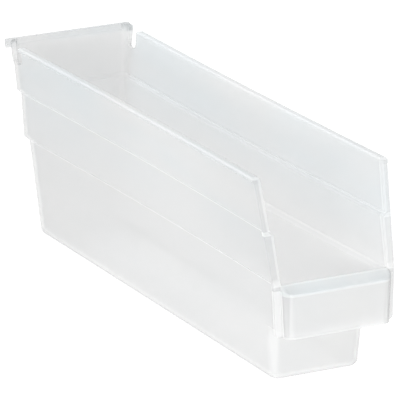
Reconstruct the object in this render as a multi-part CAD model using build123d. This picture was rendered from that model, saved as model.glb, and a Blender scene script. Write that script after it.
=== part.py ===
from build123d import *
import math
import os

# Hopper-front shelf bin: one injection-moulded polypropylene shell.
# Millimetres. X is the width, the front faces -Y, +Z is up.
# The origin is on the ground, under the middle of the overall length and width.

# ---- overall sizes ----
LENGTH = 295.3          # hang lip to label panel
WIDTH = 69.85           # over the ends of the hang lip
HEIGHT = 101.2          # to the top of the hang lip
WALL = 1.8              # side, back and front walls
FLOOR = 2.0

Y_FRONT = -LENGTH / 2 - 0.03    # face of the label panel, before its top edge is rounded
Y_BACK = LENGTH / 2     # rear edge of the hang lip

# ---- levels ----
Z_PANEL = 27.1          # underside of the front overhang
Z_STEP2 = 49.7          # lower step in the walls
H_STEP2 = 2.0
Z_STEP1 = 74.5          # upper step in the walls
H_STEP1 = 1.6
Z_RIM = 100.2           # top of the side walls
STEP_IN = 0.3           # how much higher each step sits on the inside

# ---- outside of the walls at each level: z, half width, back, inward bow ----
LEVELS = [
    (0.0, 22.75, 138.4, 0.2),
    (Z_STEP2, 26.85, 141.2, 2.2),
    (Z_STEP2 + H_STEP2, 29.05, 142.8, 2.2),
    (Z_STEP1, 29.8, 143.3, 2.2),
    (Z_STEP1 + H_STEP1, 31.45, 144.5, 2.2),
    (Z_RIM, 33.0, 145.5, 1.35),
    (Z_RIM + 6.0, 33.35, 145.7, 1.15),
]
BOW_SPAN = 140.0        # the bow is measured between the ends at +-BOW_SPAN

# ---- outside of the front wall ----
F_BASE = -123.6         # at the floor
F_PANEL = -125.8        # where the overhang starts
F_OVER_LO = -142.2      # above the overhang, bottom
F_OVER_HI = -143.1      # and top

R_PLAN = 5.0            # vertical corners, outside
R_FOOT = 3.0            # edge between floor and walls, outside
R_FOOT_IN = 1.8         # and inside

# ---- hopper mouth ----
Z_CREST = 52.0          # inner crest of the front ledge
Y_CREST = -141.3
Z_LEDGE_OUT = 48.9      # outer edge of the ledge
Y_RIM_END = -128.9      # where the sloped edge would meet the rim
R_MOUTH = 4.0           # rounding of that corner
FLANGE = 2.0            # thickness of the flange down the mouth
W_FLANGE_TOP = 34.1     # half width over the flanges at the rim,
W_FLANGE_BOT = 31.0     # at the crest of the ledge
W_FLANGE_FOOT = 30.0    # and at their feet beside the label panel
R_FLANGE_FOOT = 2.2

# ---- label panel ----
W_PANEL_TOP = 27.7      # half width at the ledge
W_PANEL_BOT = 27.0      # and at the foot
R_PANEL = 4.5           # its vertical corners
R_LEDGE = 0.9           # edge between ledge and panel
PANEL = 1.8             # thickness
PANEL_DRAFT = 1.1       # how much further back its foot is

# ---- rim bead ----
BEAD = 1.85             # how far it stands out from the wall
BEAD_H = 2.7
R_RIM_IN = 0.8          # inner edge of the rim

# ---- ears, notches and hang lip ----
EAR_Y = 141.0           # front face of the ear behind each notch
NOTCH = 9.7
Z_NOTCH = 89.9          # bottom of the notch at the ear
R_NOTCH = 3.5
R_RIM_END = 2.2         # top corner of the rim at the notch
EAR_OUT = 1.25          # how far the ear stands out from the wall
Z_EAR = 101.2
Z_BACK_IN = 99.0        # top of the back wall at its inner face
R_LIP = 1.5             # plan corners of the hang lip

Y_OPEN = -158.0         # walls run out to here before the mouth is cut
NOTCH_Y = EAR_Y - NOTCH


def level(z, shift=0.0):
    """Half width, back and bow of the outside at height z."""
    z = z - 0.0
    rows = [(r[0] + (shift if 0 < r[0] < Z_RIM else 0.0),) + r[1:] for r in LEVELS]
    for a, b in zip(rows, rows[1:]):
        if z <= b[0] or b is rows[-1]:
            t = (z - a[0]) / (b[0] - a[0])
            return [a[k] + (b[k] - a[k]) * t for k in (1, 2, 3)]


def side_x(w, bow, y):
    """Half width at y of a side that is w at +-BOW_SPAN and w - bow at 0."""
    r = (BOW_SPAN ** 2 + bow ** 2) / (2 * bow)
    return w - bow + r - math.sqrt(r * r - y * y)


def outline(z, w, back, front, bow, r_back, r_front):
    """Closed plan outline at height z with bowed sides and rounded corners."""
    mid = (back + front) / 2
    xb, xm, xf = (side_x(w, bow, y) for y in (back, mid, front))
    wire = Wire([
        Line((-xb, back), (xb, back)),
        ThreePointArc((xb, back), (xm, mid), (xf, front)),
        Line((xf, front), (-xf, front)),
        ThreePointArc((-xf, front), (-xm, mid), (-xb, back)),
    ])
    sk = Sketch() + Face(wire)
    vs = sk.vertices()
    if r_back > 0:
        sk = fillet([v for v in vs if v.Y > mid], r_back)
    if r_front > 0:
        sk = fillet([v for v in sk.vertices() if abs(v.Y - front) < 1e-3], r_front)
    return Plane.XY.offset(z) * sk


def section(z, front, inset=0.0, shift=0.0, out=0.0, closed=True):
    """Outline of the tub at height z, inset from the outside or moved out."""
    w, back, bow = level(z, shift)
    r = max(R_PLAN - inset + out, 0.6)
    return outline(z, w - inset + out, back - inset, front + inset, bow, r,
                   r if closed else 0)


def stack(sections):
    return loft(sections, ruled=True)


def foot(z0, radius, front_at, inset, shift=0.0):
    """Sections that round the edge between a floor at z0 and the walls."""
    out = []
    n = 5
    for k in range(n):
        a = math.pi / 2 * k / n
        z = z0 + radius * (1 - math.cos(a))
        out.append(section(z, front_at(z), inset + radius * (1 - math.sin(a)), shift))
    return out


def prism(points, x0, x1):
    """A Y-Z polygon carried along X from x0 to x1."""
    face = make_face(Plane.YZ.offset(x0) * Polyline(points, close=True))
    return extrude(face, x1 - x0, dir=(1, 0, 0))


def low_front(z):
    return F_BASE + (F_PANEL - F_BASE) * z / Z_PANEL


def over_front(z):
    t = (z - Z_PANEL) / (Z_CREST - Z_PANEL)
    return F_OVER_LO + (F_OVER_HI - F_OVER_LO) * t


# ================= outside of the tub =================
out_low = stack(
    foot(0.0, R_FOOT, low_front, 0.0)
    + [section(R_FOOT, low_front(R_FOOT)), section(Z_PANEL, low_front(Z_PANEL))])
out_over = stack([section(Z_PANEL, over_front(Z_PANEL)),
                  section(Z_STEP2, over_front(Z_STEP2))])
levels_up = [Z_STEP2, Z_STEP2 + H_STEP2, Z_STEP1, Z_STEP1 + H_STEP1, Z_RIM]
out_up = stack([section(z, Y_OPEN, closed=False) for z in levels_up])

# ================= inside of the tub =================
z_shelf = Z_PANEL + WALL            # floor of the front overhang
z_in2 = Z_STEP2 + STEP_IN
z_in1 = Z_STEP1 + STEP_IN
cav_low = stack(
    foot(FLOOR, R_FOOT_IN, low_front, WALL, STEP_IN)
    + [section(FLOOR + R_FOOT_IN, low_front(FLOOR + R_FOOT_IN), WALL, STEP_IN),
       section(z_shelf, low_front(z_shelf), WALL, STEP_IN)])
cav_over = stack([section(z_shelf, over_front(z_shelf), WALL, STEP_IN),
                  section(z_in2, over_front(z_in2), WALL, STEP_IN)])
cav_crest = stack([section(z, over_front(z), WALL, STEP_IN)
                   for z in (z_in2, z_in2 + H_STEP2, z_in2 + 6.0)])
r = R_RIM_IN
cav_up = stack([section(z, Y_OPEN - 5.0, WALL - g, STEP_IN, closed=False) for z, g in (
    (z_in2, 0), (z_in2 + H_STEP2, 0), (z_in1, 0), (z_in1 + H_STEP1, 0), (Z_RIM - r, 0),
    (Z_RIM - 0.62 * r, 0.08 * r), (Z_RIM - 0.29 * r, 0.29 * r),
    (Z_RIM - 0.08 * r, 0.62 * r), (Z_RIM + 0.02, 0.98 * r), (Z_RIM + 5.0, 0.98 * r))])
cav_ear = stack([section(z, Y_OPEN - 5.0, WALL, STEP_IN, closed=False) for z in (
    z_in1 + H_STEP1, Z_RIM - r, Z_RIM + 5.0)])

# ================= rim bead =================
zb = Z_RIM - BEAD_H
bead = stack([section(z, Y_OPEN, out=o, closed=False) for z, o in (
    (zb - 0.8, -0.4), (zb, 1.0), (zb + 0.35, 1.45), (zb + 0.8, BEAD - 0.05),
    (Z_RIM - 0.8, BEAD), (Z_RIM - 0.35, BEAD - 0.25), (Z_RIM - 0.1, BEAD - 0.55),
    (Z_RIM, BEAD - 0.95))])
bead = bead & Pos(0, (NOTCH_Y + Y_OPEN) / 2, 98) * Box(80, NOTCH_Y - Y_OPEN, 12)

# ================= ears at the back corners =================
ears = stack([section(z, 100.0, out=o, closed=False) for z, o in (
    (Z_NOTCH - 2.2, -0.5), (Z_NOTCH - 0.6, 0.1), (Z_NOTCH + 0.1, 0.45),
    (Z_NOTCH + 1.6, 0.9), (Z_NOTCH + 3.6, 1.15), (Z_EAR - 0.8, EAR_OUT),
    (Z_EAR - 0.3, EAR_OUT - 0.15), (Z_EAR, EAR_OUT - 0.6))])
ears = ears & Pos(0, EAR_Y + 15, 95) * Box(80, 30, 20)

# ================= flange down both sides of the mouth =================
slope = (Y_CREST - Y_RIM_END) / (Z_CREST - Z_RIM)       # dY/dZ of the mouth edge
Z_KEEP = Z_RIM + 0.2    # so that the rounding meets the rim's top at an angle
keep_face = make_face(Plane.YZ * Polyline(
    [(160, Z_PANEL), (160, 106), (NOTCH_Y + 3, 106), (NOTCH_Y + 3, Z_KEEP),
     (Y_RIM_END, Z_KEEP), (Y_CREST, Z_CREST), (Y_CREST, Z_PANEL)], close=True))
corner = [v for v in keep_face.vertices()
          if abs(v.Y - Y_RIM_END) < 1e-3 and abs(v.Z - Z_KEEP) < 1e-3]
keep_face = fillet(corner, R_MOUTH)
keep = extrude(keep_face, 40, dir=(1, 0, 0), both=True)
plate = FLANGE * math.hypot(1, slope)
strip = keep - Pos(0, plate, 0) * keep
front_view = make_face(Plane.XZ * Polyline(
    [(-W_FLANGE_FOOT, Z_PANEL), (W_FLANGE_FOOT, Z_PANEL), (W_FLANGE_BOT, Z_CREST),
     (W_FLANGE_TOP, Z_RIM - 0.1), (-W_FLANGE_TOP, Z_RIM - 0.1),
     (-W_FLANGE_BOT, Z_CREST)], close=True))
front_view = fillet([v for v in front_view.vertices() if v.Z < Z_PANEL + 1], R_FLANGE_FOOT)
flange = strip & extrude(front_view, 160, dir=(0, -1, 0))

# ================= label panel, ledge and side returns =================
fall = (Z_CREST - Z_LEDGE_OUT) / (Y_CREST - Y_FRONT)     # dZ/dY of the ledge
drop = PANEL * math.hypot(1, fall)
lean = PANEL_DRAFT / (Z_LEDGE_OUT - Z_PANEL)


def front_block(y_back, z_foot, inset, down, r):
    """The block under the ledge, its planes moved inwards by inset and down."""
    z_out = Z_LEDGE_OUT - down + inset * fall
    y_out = Y_FRONT + inset + (Z_LEDGE_OUT - z_out) * lean
    y_foot = Y_FRONT + inset + (Z_LEDGE_OUT - z_foot) * lean
    side = prism([(y_back, z_foot), (y_back, Z_CREST - down), (Y_CREST, Z_CREST - down),
                  (y_out, z_out), (y_foot, z_foot)], -40, 40)
    k = (W_PANEL_TOP - W_PANEL_BOT) / (Z_LEDGE_OUT - Z_PANEL)
    w0, w1 = (W_PANEL_BOT + (z - Z_PANEL) * k - inset for z in (z_foot, Z_CREST))
    face = make_face(Plane.XZ * Polyline(
        [(-w0, z_foot), (w0, z_foot), (w1, Z_CREST), (-w1, Z_CREST)], close=True))
    block = side & extrude(face, 170, dir=(0, -1, 0))
    tall = [e for e in block.edges() if abs(e.center().X) > 15
            and abs(e.center().Y - (y_out + y_foot) / 2) < 0.3 and e.length > 10]
    return fillet(tall, r)


box_out = front_block(Y_CREST + 1.1, Z_PANEL, 0.0, 0.0, R_PANEL)
brow = [e for e in box_out.edges()
        if e.center().Y < Y_CREST - 0.5 and e.center().Z > Z_LEDGE_OUT - 1.0]
box_out = fillet(brow, R_LEDGE)
box_in = front_block(Y_CREST + 0.25, Z_PANEL - 1.0, PANEL, drop, R_PANEL - PANEL)
box = box_out - box_in

# ================= hang lip =================
b_in = LEVELS[5][2] - WALL
rise = (HEIGHT - Z_BACK_IN) / (Y_BACK - b_in)
lip = prism([(b_in, Z_BACK_IN - 1.2), (b_in, Z_BACK_IN), (Y_BACK, HEIGHT),
             (Y_BACK, HEIGHT - 1.6), (b_in + WALL - 0.2, Z_BACK_IN - 2.0)],
            -WIDTH / 2, WIDTH / 2)
lip = fillet([e for e in lip.edges() if abs(e.center().X) > 30
              and abs(e.center().Y - Y_BACK) < 1e-3], R_LIP)
over_lip = prism([(b_in - 3, Z_BACK_IN - 3 * rise), (b_in - 3, 108), (Y_BACK + 3, 108),
                  (Y_BACK + 3, HEIGHT + 3 * rise)], -29.5, 29.5)

# ================= notches =================
notch_face = make_face(Plane.YZ * Polyline(
    [(NOTCH_Y - R_RIM_END, 110), (NOTCH_Y - R_RIM_END, Z_RIM + 0.15),
     (NOTCH_Y, Z_RIM + 0.15), (NOTCH_Y, Z_NOTCH + 0.7), (EAR_Y, Z_NOTCH),
     (EAR_Y, 110)], close=True))
notch_face = fillet([v for v in notch_face.vertices() if v.Z < 95], R_NOTCH)
notch_face = fillet([v for v in notch_face.vertices()
                     if abs(v.Y - NOTCH_Y) < 1e-3 and v.Z > 99], R_RIM_END - 0.1)
notches = [extrude(Pos(x, 0, 0) * notch_face, 16, dir=(1, 0, 0)) for x in (-40, 24)]

# ================= the moulding =================
mouth = Pos(0, -90, 78) * Box(100, 150, 2 * (78 - Z_STEP2))
mouth = mouth - keep
tub = out_low + out_over + out_up
tub = tub - cav_low
tub = tub - cav_over
tub = tub - cav_up
tub = tub + (bead - cav_up)
tub = tub + (ears - cav_ear)
tub = tub + (flange - cav_up - cav_over)
tub = tub - mouth
tub = tub - over_lip
tub = tub + lip
for n in notches:
    tub = tub - n
front_box = box - cav_over - cav_crest
shell = tub + front_box

solids = shell.solids()
print("solids", len(solids), [round(s.volume) for s in solids])
bin_shell = solids.sort_by(SortBy.VOLUME)[-1]
bin_shell.label = "bin_shell"
bb = bin_shell.bounding_box()
print("box", bb.min, bb.max)

os.makedirs("parts", exist_ok=True)
export_step(bin_shell, "parts/bin_shell.step")
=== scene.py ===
import math

import bpy
from mathutils import Matrix, Vector

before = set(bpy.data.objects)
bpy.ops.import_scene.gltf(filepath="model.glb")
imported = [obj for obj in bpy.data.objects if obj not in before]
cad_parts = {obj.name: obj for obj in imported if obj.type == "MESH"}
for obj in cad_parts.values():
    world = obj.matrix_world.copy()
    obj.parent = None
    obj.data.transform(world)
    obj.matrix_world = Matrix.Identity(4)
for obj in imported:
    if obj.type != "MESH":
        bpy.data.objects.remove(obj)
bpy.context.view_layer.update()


scene = bpy.context.scene


# ---------------------------------------------------------------- node helpers
def node(tree, kind, x=0, y=0, **values):
    n = tree.nodes.new(kind)
    n.location = (x, y)
    for k, v in values.items():
        if k in n.inputs:
            n.inputs[k].default_value = v
        else:
            setattr(n, k, v)
    return n


def link(tree, a, out, b, into):
    tree.links.new(a.outputs[out], b.inputs[into])


# ---------------------------------------------------------------- the plastic
CLEAR = 0.90            # what the clear part of each surface lets through
HAZE = 0.32             # share of each surface that is cloudy in a plain wall
HAZE_PAINTED_HIGHLIGHT = 0.65       # and where highlights are painted in as extra haze


def maths(tree, op, *args):
    n = tree.nodes.new("ShaderNodeMath")
    n.operation = op
    for k, v in enumerate(args):
        if isinstance(v, (int, float)):
            n.inputs[k].default_value = v
        else:
            tree.links.new(v, n.inputs[k])
    return n.outputs[0]


def ramp(tree, value, lo, hi):
    """0 at lo, 1 at hi, smooth between; the other way round where lo > hi."""
    n = tree.nodes.new("ShaderNodeMapRange")
    n.interpolation_type = "SMOOTHSTEP"
    n.inputs["From Min"].default_value = min(lo, hi)
    n.inputs["From Max"].default_value = max(lo, hi)
    n.inputs["To Min"].default_value = 0.0 if lo < hi else 1.0
    n.inputs["To Max"].default_value = 1.0 if lo < hi else 0.0
    tree.links.new(value, n.inputs["Value"])
    return n.outputs[0]


def painted_light_masks(tree, coord):
    """From the place on the bin in millimetres: the painted highlights, 0 in a plain wall and 1 in
    an edge, the painted shade on the clear part, how high it is, the painted shade greying the
    flanges, and where it is clearer."""
    split = tree.nodes.new("ShaderNodeSeparateXYZ")
    tree.links.new(coord.outputs["Object"], split.inputs[0])
    x, y, z = (maths(tree, "MULTIPLY", split.outputs[k], 1000.0) for k in "XYZ")
    x = maths(tree, "ABSOLUTE", x)

    def r(v, lo, hi):
        return ramp(tree, v, lo, hi)

    def both(*parts):
        out = parts[0]
        for p in parts[1:]:
            out = maths(tree, "MULTIPLY", out, p)
        return out

    slope = (-141.3 + 128.9) / (52.0 - 100.2)
    line = maths(tree, "MULTIPLY_ADD", z, slope, -128.9 - slope * 100.2)
    line = maths(tree, "MAXIMUM", line, -141.3)
    behind = maths(tree, "SUBTRACT", y, line)
    # outside of the bowed side wall at the two steps
    bow = maths(tree, "MULTIPLY_ADD", maths(tree, "MULTIPLY", y, y), -2.2 / 19600.0, 2.2)
    bowed = maths(tree, "ADD", x, bow)
    out2 = maths(tree, "SUBTRACT", bowed, maths(tree, "MULTIPLY_ADD", z, 1.1, 25.95 - 49.85 * 1.1))
    out1 = maths(tree, "SUBTRACT", bowed, maths(tree, "MULTIPLY_ADD", z, 1.03, 28.9 - 74.65 * 1.03))
    walls = both(r(y, -140.0, -139.0), r(y, 137.0, 135.0))
    # the wall seen end on down the mouth: inside of the side wall, then a band along it
    lower = maths(tree, "MULTIPLY_ADD", z, 0.0329, 27.35)
    upper = maths(tree, "MULTIPLY_ADD", z, 0.0643, 26.56)
    rise = maths(tree, "MULTIPLY", maths(tree, "SUBTRACT", upper, lower), r(z, 74.8, 76.4))
    inside = maths(tree, "SUBTRACT", maths(tree, "ADD", lower, rise), 2.05)
    end_on = both(r(behind, 2.4, 1.6), r(maths(tree, "SUBTRACT", x, inside), 1.7, 1.1),
                  r(z, 51.0, 52.5))
    rest = maths(tree, "SUBTRACT", 1.0, end_on)
    crest = both(r(z, 50.9, 51.7), r(y, -140.4, -141.0))
    # painted highlights, laid in as extra haze: rim, flanges, ledge crest and edges, panel and
    # front wall corners, foot and step lines
    parts = [
        both(r(z, 98.8, 99.8), r(y, 141.0, 140.5), 0.85),             # rim
        both(r(behind, 2.7, 1.7), r(x, 25.5, 26.5), rest, r(z, 48.0, 52.0), 0.06),      # flanges
        both(end_on, 0.28),
        both(crest, 0.60),                                            # crest of the ledge
        both(r(y, -146.2, -147.0), r(z, 47.6, 48.4), 0.45),           # its outer edge
        both(r(y, -141.0, -142.0), r(z, 47.0, 48.0), 0.42),           # its slope
        both(r(y, -141.2, -141.8), r(x, 23.6, 25.0), r(z, 50.5, 49.0), 0.12),   # panel corners
        both(r(y, -137.6, -138.6), r(y, -143.4, -143.0), r(x, 20.6, 22.0), r(z, 27.0, 28.0), r(z, 50.0, 49.0), 0.80),   # front wall corners
        both(r(y, -141.4, -142.0), r(z, 28.2, 27.5), 0.55),           # panel foot
        both(r(z, 2.6, 1.6), maths(tree, "MAXIMUM", r(x, 19.6, 21.0), maths(
            tree, "MAXIMUM", r(y, 133.5, 135.0), r(y, -119.5, -121.0))), 0.10),  # foot
        both(r(y, -121.0, -123.0), r(x, 19.5, 21.5), r(z, 27.5, 26.5), 0.12),   # its front corners
        both(walls, r(out2, 0.0, 0.4), r(z, 49.1, 49.7), r(z, 52.0, 51.4), 0.45),
        both(walls, r(out1, 0.0, 0.4), r(z, 73.9, 74.5), r(z, 76.4, 75.8), 0.60),
        both(walls, r(out2, 0.0, -0.4), r(z, 51.3, 51.8), r(z, 52.5, 52.1), 0.15),
        both(walls, r(out1, 0.0, -0.4), r(z, 75.7, 76.2), r(z, 76.9, 76.5), 0.60),
    ]
    # painted shade: what the clear part lets through is darkened at the back, the flanges and the
    # lower front
    painted_shade = [
        both(r(y, 134.0, 138.0), r(z, 99.0, 96.5), 0.26),
        both(r(y, -30.0, -125.0), r(z, 50.0, 60.0), 0.25),
        both(r(y, 139.8, 140.6), r(z, 97.0, 99.0), 0.70),
        both(r(behind, 2.7, 1.7), r(x, 25.5, 26.5), rest, 0.45),
        both(r(y, -120.5, -123.0), r(z, 27.5, 26.0), 0.40),
        both(r(z, 3.0, 1.5), maths(tree, "MAXIMUM", r(x, 19.0, 20.5), r(y, -119.0, -120.5)), 0.80),
        both(r(y, -141.2, -141.8), r(x, 23.6, 25.0), r(z, 50.5, 49.0), 0.50),
    ]
    high = [
        both(r(z, 50.0, 92.0), r(y, 139.0, 134.0)),
        both(r(z, 96.5, 99.0), 0.9),
        both(r(y, -141.0, -142.0), r(z, 47.0, 48.5), 0.7),
    ]
    # painted shade: the flanges' front faces are greyed
    painted_flange_shade = both(r(behind, 2.7, 1.7), r(x, 25.5, 26.5), rest, maths(
        tree, "MULTIPLY_ADD", r(z, 48.0, 54.0), 0.04, 0.04))
    thin = both(r(behind, 2.9, 2.3), r(x, 25.0, 26.0), r(z, 52.0, 48.0))
    return most(tree, parts), most(tree, painted_shade), most(tree, high), painted_flange_shade, thin


def most(tree, parts):
    out = parts[0]
    for p in parts[1:]:
        out = maths(tree, "MAXIMUM", out, p)
    return out


def blend(tree, fac, a, b):
    """A colour between a, where fac is 0, and b, where fac is 1."""
    n = tree.nodes.new("ShaderNodeMix")
    n.data_type = "RGBA"
    for socket, v in ((n.inputs[0], fac), (n.inputs[6], a), (n.inputs[7], b)):
        if isinstance(v, tuple):
            socket.default_value = v + (1.0,)
        else:
            tree.links.new(v, socket)
    return n.outputs[2]


def milky_plastic():
    """Milky clear polypropylene: a hazy see-through solid whose colour and gloss are both
    uneven, the colour at the scale of the moulding's flow."""
    mat = bpy.data.materials.new("milky_polypropylene")
    mat.use_nodes = True
    t = mat.node_tree
    t.nodes.clear()
    out = node(t, "ShaderNodeOutputMaterial", 900, 0)
    bsdf = node(t, "ShaderNodeBsdfPrincipled", 600, 0)
    coord = node(t, "ShaderNodeTexCoord", -900, 0)

    # cloudiness: broad flow marks drawn out along the length
    stretch = node(t, "ShaderNodeMapping", -700, 200)
    stretch.inputs["Scale"].default_value = (22.0, 6.0, 22.0)
    flow = node(t, "ShaderNodeTexNoise", -500, 200)
    flow.inputs["Scale"].default_value = 1.0
    flow.inputs["Detail"].default_value = 3.0
    flow.inputs["Roughness"].default_value = 0.55
    link(t, coord, "Object", stretch, "Vector")
    link(t, stretch, "Vector", flow, "Vector")
    tint = node(t, "ShaderNodeValToRGB", -250, 250)
    tint.color_ramp.elements[0].position = 0.30
    tint.color_ramp.elements[0].color = (0.915, 0.925, 0.930, 1.0)
    tint.color_ramp.elements[1].position = 0.70
    tint.color_ramp.elements[1].color = (0.955, 0.955, 0.950, 1.0)
    link(t, flow, "Fac", tint, "Fac")
    painted_highlight, painted_shade, high, painted_flange_shade, thin = painted_light_masks(t, coord)
    # the upper part of the moulding is a little cooler
    cool = maths(t, "MULTIPLY", high, ramp(t, flow.outputs["Fac"], 0.75, 0.30))
    base = blend(t, cool, tint.outputs["Color"], (0.885, 0.935, 0.955))
    # painted shade: the flanges' base colour is blended toward grey
    t.links.new(blend(t, painted_flange_shade, base, (0.76, 0.77, 0.78)), bsdf.inputs["Base Color"])

    # gloss: slightly uneven
    grain = node(t, "ShaderNodeTexNoise", -500, -100)
    grain.inputs["Scale"].default_value = 140.0
    grain.inputs["Detail"].default_value = 2.0
    link(t, coord, "Object", grain, "Vector")
    rough = node(t, "ShaderNodeMapRange", -250, -100)
    rough.inputs["To Min"].default_value = 0.20
    rough.inputs["To Max"].default_value = 0.27
    link(t, grain, "Fac", rough, "Value")
    link(t, rough, "Result", bsdf, "Roughness")

    bsdf.inputs["IOR"].default_value = 1.49
    clear = node(t, "ShaderNodeBsdfTransparent", 600, 250)
    shade = blend(t, cool, (CLEAR, CLEAR, CLEAR), (CLEAR * 0.98, CLEAR, CLEAR * 1.01))
    # painted shade: the clear part is darker where the shade mask is set
    t.links.new(blend(t, painted_shade, shade, (CLEAR * 0.8,) * 3), clear.inputs["Color"])

    # painted highlights: more lit haze at the rim, flanges, edges, corners and steps, so these read
    # brighter
    haze = node(t, "ShaderNodeMapRange", 300, -400)
    haze.inputs["To Min"].default_value = HAZE
    haze.inputs["To Max"].default_value = HAZE_PAINTED_HIGHLIGHT
    t.links.new(painted_highlight, haze.inputs["Value"])
    mix = node(t, "ShaderNodeMixShader", 800, 100)
    t.links.new(maths(t, "MULTIPLY_ADD", thin, -0.07, haze.outputs["Result"]), mix.inputs["Fac"])
    t.links.new(clear.outputs["BSDF"], mix.inputs[1])
    t.links.new(bsdf.outputs["BSDF"], mix.inputs[2])
    link(t, mix, "Shader", out, "Surface")
    return mat


plastic = milky_plastic()
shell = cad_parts["bin_shell"]
shell.data.materials.clear()
shell.data.materials.append(plastic)


# ---------------------------------------------------------------- floor
def floor_material():
    mat = bpy.data.materials.new("floor")
    mat.use_nodes = True
    mat.cycles.emission_sampling = "NONE"   # so wide that chance rays find it well enough
    t = mat.node_tree
    t.nodes.clear()
    out = node(t, "ShaderNodeOutputMaterial", 400, 0)
    bsdf = node(t, "ShaderNodeBsdfPrincipled", 100, 0)
    bsdf.inputs["Base Color"].default_value = (0.10, 0.10, 0.10, 1.0)
    bsdf.inputs["Roughness"].default_value = 0.9
    bsdf.inputs["Specular IOR Level"].default_value = 0.0
    bsdf.inputs["Emission Color"].default_value = (1.0, 1.0, 1.0, 1.0)
    bsdf.inputs["Emission Strength"].default_value = 1.0
    # the floor doesn't hide the underside of the bin from below
    side_of = node(t, "ShaderNodeNewGeometry", 100, 250)
    below = node(t, "ShaderNodeBsdfTransparent", 100, -300)
    mix = node(t, "ShaderNodeMixShader", 300, 0)
    link(t, side_of, "Backfacing", mix, "Fac")
    t.links.new(bsdf.outputs["BSDF"], mix.inputs[1])
    t.links.new(below.outputs["BSDF"], mix.inputs[2])
    link(t, mix, "Shader", out, "Surface")
    return mat


mesh = bpy.data.meshes.new("floor")
side, n = 6.0, 12
verts = [(-side + 2 * side * i / n, -side + 2 * side * j / n, -0.0002)
         for j in range(n + 1) for i in range(n + 1)]
faces = [(j * (n + 1) + i, j * (n + 1) + i + 1, (j + 1) * (n + 1) + i + 1, (j + 1) * (n + 1) + i)
         for j in range(n) for i in range(n)]
mesh.from_pydata(verts, [], faces)
floor = bpy.data.objects.new("floor", mesh)
floor.data.materials.append(floor_material())
scene.collection.objects.link(floor)


# ---------------------------------------------------------------- light
SKY_LOW = 0.10
SKY_HIGH = 0.44
LEFT, FRONT_LEFT, FRONT, TOP = 5.2, 14.0, 3.4, 26.0      # watts

world = bpy.data.worlds.new("studio")
scene.world = world
world.use_nodes = True
wt = world.node_tree
wt.nodes.clear()
w_out = node(wt, "ShaderNodeOutputWorld", 400, 0)
w_bg = node(wt, "ShaderNodeBackground", 200, 0)
w_bg.inputs["Color"].default_value = (1.0, 1.0, 1.0, 1.0)
w_dir = node(wt, "ShaderNodeTexCoord", -600, 0)
w_sep = node(wt, "ShaderNodeSeparateXYZ", -400, 0)
w_map = node(wt, "ShaderNodeMapRange", -200, 0)
w_map.interpolation_type = "SMOOTHSTEP"
w_map.inputs["From Min"].default_value = 0.0
w_map.inputs["From Max"].default_value = 1.0
w_map.inputs["To Min"].default_value = SKY_LOW
w_map.inputs["To Max"].default_value = SKY_HIGH
link(wt, w_dir, "Generated", w_sep, "Vector")
link(wt, w_sep, "Z", w_map, "Value")
# what the camera sees beyond the floor is plain white, like the floor
w_ray = node(wt, "ShaderNodeLightPath", -200, 300)
w_seen = node(wt, "ShaderNodeMix", 0, 100)
w_seen.data_type = "FLOAT"
link(wt, w_ray, "Is Camera Ray", w_seen, 0)
wt.links.new(w_map.outputs["Result"], w_seen.inputs[2])
w_seen.inputs[3].default_value = 1.0
wt.links.new(w_seen.outputs[0], w_bg.inputs["Strength"])
link(wt, w_bg, "Background", w_out, "Surface")


def softbox(name, azimuth, elevation, distance, width, height, watts):
    """A soft area light that looks at the bin. Azimuth 0 is the front, positive to +X."""
    light = bpy.data.lights.new(name, "AREA")
    light.shape = "RECTANGLE"
    light.size, light.size_y = width, height
    light.energy = watts
    lamp = bpy.data.objects.new(name, light)
    a, e = math.radians(azimuth), math.radians(elevation)
    away = Vector((math.sin(a) * math.cos(e), -math.cos(a) * math.cos(e), math.sin(e)))
    lamp.location = Vector((0, 0, 0.05)) + away * distance
    lamp.rotation_mode = "QUATERNION"
    lamp.rotation_quaternion = (-away).to_track_quat("-Z", "Y")
    scene.collection.objects.link(lamp)
    return lamp


softbox("left_box", -72, 6, 1.6, 1.3, 0.3, LEFT)
softbox("front_left_box", -35, 6, 1.6, 1.3, 0.3, FRONT_LEFT)
softbox("front_box", 5, 4, 1.6, 1.3, 0.2, FRONT)
softbox("top_box", 180, 64, 1.8, 1.0, 1.0, TOP)


# ---------------------------------------------------------------- camera
def photo_camera():
    """The camera that the photo's edges fit, in metres."""
    yaw, pitch, roll = (math.radians(v) for v in (25.940, 16.996, -0.978))
    tx, ty, dist, focal = -1.4173, -0.5947, 2148.526, 4462.802
    fwd = Vector((math.sin(yaw) * math.cos(pitch), math.cos(yaw) * math.cos(pitch),
                  -math.sin(pitch)))
    right = Vector((math.cos(yaw), -math.sin(yaw), 0.0))
    up = right.cross(fwd)
    r2 = right * math.cos(roll) + up * math.sin(roll)
    u2 = -right * math.sin(roll) + up * math.cos(roll)
    at = Vector((0, 0, 50.0)) - fwd * dist - r2 * tx - u2 * ty
    data = bpy.data.cameras.new("camera")
    data.sensor_width = 36.0
    data.sensor_fit = "HORIZONTAL"
    data.lens = focal / 400.0 * 36.0
    data.clip_start, data.clip_end = 0.1, 50.0
    cam = bpy.data.objects.new("camera", data)
    turn = Matrix((r2, u2, -fwd)).transposed()
    cam.matrix_world = Matrix.Translation(at / 1000.0) @ turn.to_4x4()
    scene.collection.objects.link(cam)
    return cam


scene.camera = photo_camera()
scene.view_settings.view_transform = "Standard"
scene.view_settings.look = "None"
scene.view_settings.exposure = 0.0
scene.view_settings.gamma = 1.0
# light crosses many thin clear walls here
scene.cycles.max_bounces = 24
scene.cycles.diffuse_bounces = 12
scene.cycles.transparent_max_bounces = 32
